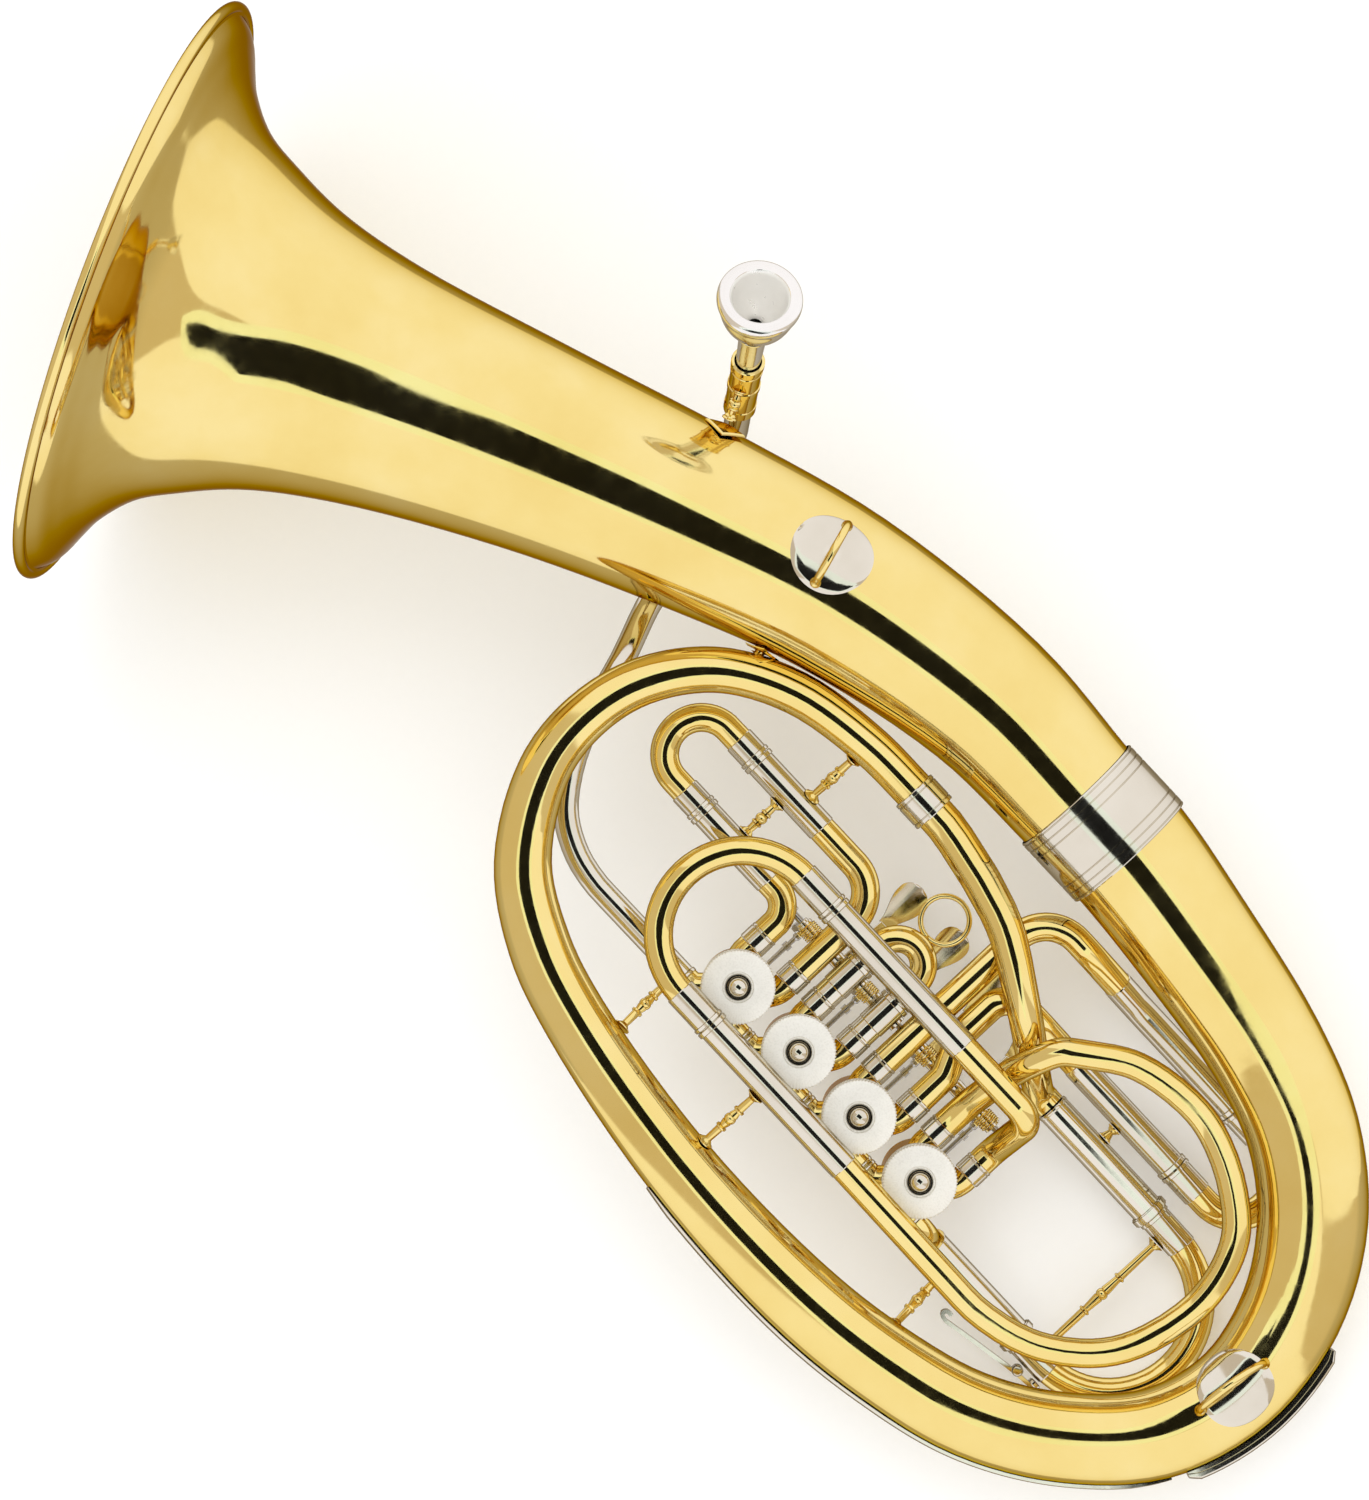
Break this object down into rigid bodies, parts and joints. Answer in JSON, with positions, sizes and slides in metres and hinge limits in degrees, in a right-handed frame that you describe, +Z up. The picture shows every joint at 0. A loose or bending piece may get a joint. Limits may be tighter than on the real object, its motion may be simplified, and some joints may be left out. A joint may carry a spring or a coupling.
{
  "type": "euphonium",
  "caption": "Oval rotary-valve euphonium: flared bell, conical bow, rotary valves with finger levers and links, pull-out valve and tuning slides, water key and removable mouthpiece.",
  "frame": {"origin": "middle of the footprint, on the surface the instrument lies on", "axes": "+X runs along the slides from the bell mouth to the bottom bow, +Y from the valves to the bell tube, +Z up, towards the player side"},
  "size_m": [0.7958, 0.3442, 0.2774],
  "materials": {
    "brass": "lacquered, high polish",
    "nickel": "nickel silver under lacquer",
    "silver": "silver plate",
    "steel": "plain"
  },
  "bodies": {
    "lever_1": {"lever_1": "nickel"},
    "link_1": {"link_1": "steel"},
    "rotor_1": {"rotor_1": "brass"},
    "lever_2": {"lever_2": "nickel"},
    "link_2": {"link_2": "steel"},
    "rotor_2": {"rotor_2": "brass"},
    "lever_3": {"lever_3": "nickel"},
    "link_3": {"link_3": "steel"},
    "rotor_3": {"rotor_3": "brass"},
    "lever_4": {"lever_4": "nickel"},
    "link_4": {"link_4": "steel"},
    "rotor_4": {"rotor_4": "brass"},
    "slide_1": {"slide_1": "brass"},
    "slide_2": {"slide_2": "brass"},
    "slide_3": {"slide_3": "brass"},
    "slide_4": {"slide_4": "brass"},
    "tuning_slide": {"tuning_slide": "brass", "brace_tuning_slide": "brass"},
    "water_key": {"water_key": "brass"},
    "mouthpiece": {"mouthpiece": "silver"},
    "root": {"bell": "brass", "bell_ferrule": "nickel", "main_bow": "brass", "bow_ferrule": "nickel", "small_branch": "brass", "guard_strip": "nickel", "guard_cap": "nickel", "strap_eye_upper": "nickel", "strap_eye_lower": "nickel", "mouthpiece_receiver": "brass", "leadpipe": "nickel", "receiver_brace": "brass", "leadpipe_brace": "brass", "bell_bracket": "brass", "brace_bow_slide_1": "brass", "brace_slide_1": "brass", "brace_bow_leadpipe": "brass", "brace_bow_slide_4": "brass", "brace_bow_tuning": "brass", "brace_slide_3_tuning": "brass", "casing_1": "brass", "cap_1": "nickel", "casing_2": "brass", "cap_2": "nickel", "casing_3": "brass", "cap_3": "nickel", "casing_4": "brass", "cap_4": "nickel", "lever_rod": "nickel", "slide_1_tube_upper": "brass", "slide_1_tube_lower": "brass", "slide_2_tube_left": "nickel", "slide_2_tube_right": "nickel", "slide_3_tube_upper": "brass", "slide_3_tube_lower": "brass", "slide_4_tube_upper": "brass", "slide_4_tube_lower": "brass", "tuning_tube_upper": "nickel", "tuning_tube_lower": "nickel"}
  },
  "joints": [
    {"name": "lever_1_press", "type": "hinge", "parent": "root", "child": "lever_1", "pos_m": [0.14233, -0.01938, 0.03601], "axis": [0.9889, 0, -0.1484], "range_deg": [0, 20], "stiffness_Nm_per_rad": 0.12, "springref_deg": -20.05},
    {"name": "link_1_level", "type": "hinge", "parent": "lever_1", "child": "link_1", "pos_m": [0.08026, -0.02294, 0.02542], "axis": [0.9889, 0, -0.1484], "range_deg": [-20, 0]},
    {"name": "rotor_1_turn", "type": "hinge", "parent": "root", "child": "rotor_1", "pos_m": [0.08084, -0.06053, 0.05756], "axis": [0.1484, 0.0045, 0.9889], "range_deg": [0, 90]},
    {"name": "lever_2_press", "type": "hinge", "parent": "root", "child": "lever_2", "pos_m": [0.14233, -0.01938, 0.03601], "axis": [0.9889, 0, -0.1484], "range_deg": [0, 20], "stiffness_Nm_per_rad": 0.12, "springref_deg": -20.05},
    {"name": "link_2_level", "type": "hinge", "parent": "lever_2", "child": "link_2", "pos_m": [0.12031, -0.02294, 0.01941], "axis": [0.9889, 0, -0.1484], "range_deg": [-20, 0]},
    {"name": "rotor_2_turn", "type": "hinge", "parent": "root", "child": "rotor_2", "pos_m": [0.12089, -0.06053, 0.05155], "axis": [0.1484, 0.0045, 0.9889], "range_deg": [0, 90]},
    {"name": "lever_3_press", "type": "hinge", "parent": "root", "child": "lever_3", "pos_m": [0.14233, -0.01938, 0.03601], "axis": [0.9889, 0, -0.1484], "range_deg": [0, 20], "stiffness_Nm_per_rad": 0.12, "springref_deg": -20.05},
    {"name": "link_3_level", "type": "hinge", "parent": "lever_3", "child": "link_3", "pos_m": [0.16036, -0.02294, 0.0134], "axis": [0.9889, 0, -0.1484], "range_deg": [-20, 0]},
    {"name": "rotor_3_turn", "type": "hinge", "parent": "root", "child": "rotor_3", "pos_m": [0.16095, -0.06053, 0.04553], "axis": [0.1484, 0.0045, 0.9889], "range_deg": [0, 90]},
    {"name": "lever_4_press", "type": "hinge", "parent": "root", "child": "lever_4", "pos_m": [0.14233, -0.01938, 0.03601], "axis": [0.9889, 0, -0.1484], "range_deg": [0, 20], "stiffness_Nm_per_rad": 0.12, "springref_deg": -20.05},
    {"name": "link_4_level", "type": "hinge", "parent": "lever_4", "child": "link_4", "pos_m": [0.20041, -0.02294, 0.00739], "axis": [0.9889, 0, -0.1484], "range_deg": [-20, 0]},
    {"name": "rotor_4_turn", "type": "hinge", "parent": "root", "child": "rotor_4", "pos_m": [0.201, -0.06053, 0.03952], "axis": [0.1484, 0.0045, 0.9889], "range_deg": [0, 90]},
    {"name": "slide_1_pull", "type": "slide", "parent": "root", "child": "slide_1", "axis": [-0.9889, 0, 0.1484], "range_m": [0, 0.02]},
    {"name": "slide_2_pull", "type": "slide", "parent": "root", "child": "slide_2", "axis": [-0.0007, 1, -0.0044], "range_m": [0, 0.018]},
    {"name": "slide_3_pull", "type": "slide", "parent": "root", "child": "slide_3", "axis": [0.9889, 0, -0.1484], "range_m": [0, 0.03]},
    {"name": "slide_4_pull", "type": "slide", "parent": "root", "child": "slide_4", "axis": [-0.9889, 0, 0.1484], "range_m": [0, 0.035]},
    {"name": "tuning_slide_pull", "type": "slide", "parent": "root", "child": "tuning_slide", "axis": [0.9889, 0, -0.1484], "range_m": [0, 0.035]},
    {"name": "mouthpiece_pull", "type": "slide", "parent": "root", "child": "mouthpiece", "axis": [-0.1021, 0.334, 0.937], "range_m": [0, 0.03]},
    {"name": "water_key_press", "type": "hinge", "parent": "tuning_slide", "child": "water_key", "pos_m": [0.29679, -0.08818, 0.01415], "axis": [-0.1484, -0.0045, -0.9889], "range_deg": [0, 8], "stiffness_Nm_per_rad": 0.05, "springref_deg": -22.92}
  ],
  "couplings": [
    {"joint": "link_1_level", "follows": "lever_1_press", "ratio": -1},
    {"joint": "rotor_1_turn", "follows": "lever_1_press", "ratio": 4.5},
    {"joint": "link_2_level", "follows": "lever_2_press", "ratio": -1},
    {"joint": "rotor_2_turn", "follows": "lever_2_press", "ratio": 4.5},
    {"joint": "link_3_level", "follows": "lever_3_press", "ratio": -1},
    {"joint": "rotor_3_turn", "follows": "lever_3_press", "ratio": 4.5},
    {"joint": "link_4_level", "follows": "lever_4_press", "ratio": -1},
    {"joint": "rotor_4_turn", "follows": "lever_4_press", "ratio": 4.5}
  ]
}
